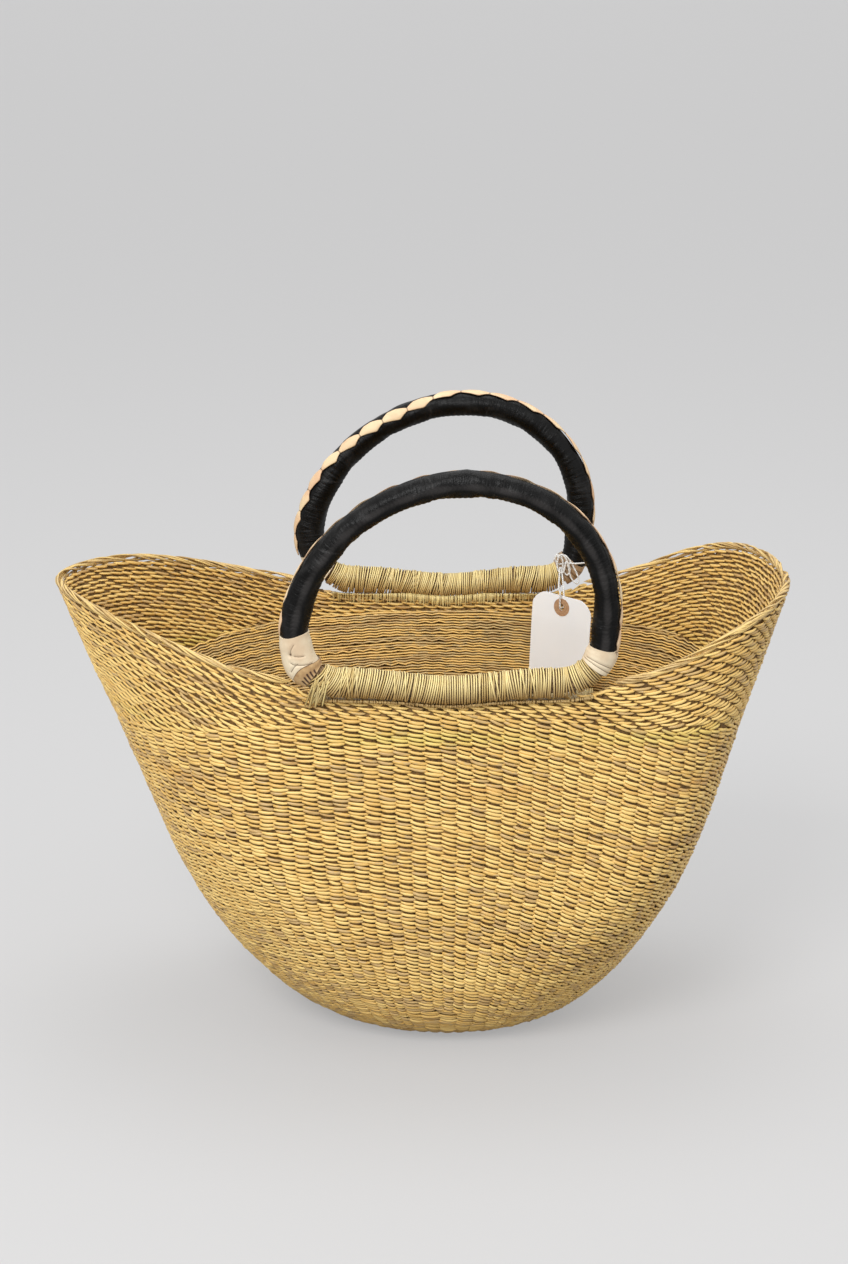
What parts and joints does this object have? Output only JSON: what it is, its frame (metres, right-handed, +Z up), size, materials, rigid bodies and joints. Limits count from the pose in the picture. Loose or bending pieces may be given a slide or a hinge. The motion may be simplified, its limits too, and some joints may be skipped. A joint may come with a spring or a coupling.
{
  "type": "straw basket",
  "caption": "Oval twined straw shopping basket with two upswept horns, a round bottom and two leather covered hoop handles that fold on straw windings.",
  "frame": {"origin": "on the floor under the flat base, where the handles' centre plane meets the middle of the mouth's depth", "axes": "+X along the mouth towards the right horn, -Y towards the camera side, +Z up"},
  "size_m": [0.4685, 0.2829, 0.3847],
  "materials": {
    "golden_straw": "matt twined grass",
    "rim_straw": "matt laid grass",
    "pale_straw": "matt twisted grass",
    "grass_core": "rough grass bundle",
    "black_leather": "satin, wrinkled",
    "peach_leather": "matt",
    "cream_leather": "matt, creased",
    "white_card": "matt, bare",
    "brown_patch": "matt",
    "white_string": "matt cotton"
  },
  "bodies": {
    "basket": {"base_weave": "golden_straw", "body_weave": "golden_straw", "left_flare_weave": "golden_straw", "right_flare_weave": "golden_straw", "left_rim_border": "rim_straw", "right_rim_border": "rim_straw"},
    "front_handle": {"front_handle_core": "grass_core", "front_handle_leather": "black_leather", "front_handle_lacing": "peach_leather", "front_left_cuff": "cream_leather", "front_right_cuff": "cream_leather", "front_winding": "pale_straw"},
    "back_handle": {"back_handle_core": "grass_core", "back_handle_leather": "black_leather", "back_handle_lacing": "peach_leather", "back_left_cuff": "cream_leather", "back_right_cuff": "cream_leather", "back_winding": "pale_straw"},
    "tag_hanger": {"tag_string": "white_string"},
    "tag": {"tag_card": "white_card", "tag_patch_front": "brown_patch", "tag_patch_back": "brown_patch"}
  },
  "joints": [
    {"name": "front_handle_fold", "type": "hinge", "parent": "basket", "child": "front_handle", "pos_m": [0, -0.1267, 0.2517], "axis": [1, 0, 0], "range_deg": [-65, 60]},
    {"name": "back_handle_fold", "type": "hinge", "parent": "basket", "child": "back_handle", "pos_m": [0, 0.1267, 0.2517], "axis": [1, 0, 0], "range_deg": [-60, 65], "deforming": ["tag_string"]},
    {"name": "tag_hang", "type": "hinge", "parent": "back_handle", "child": "tag_hanger", "pos_m": [0, 0.1267, 0.2517], "axis": [1, 0, 0], "range_deg": [-65, 60], "deforming": ["tag_string"]},
    {"name": "tag_swing", "type": "hinge", "parent": "tag_hanger", "child": "tag", "pos_m": [0.0785, 0.119, 0.2665], "axis": [1, 0, 0], "range_deg": [-28, 0], "deforming": ["tag_string"]}
  ],
  "couplings": [
    {"joint": "tag_hang", "follows": "back_handle_fold", "ratio": -1}
  ]
}
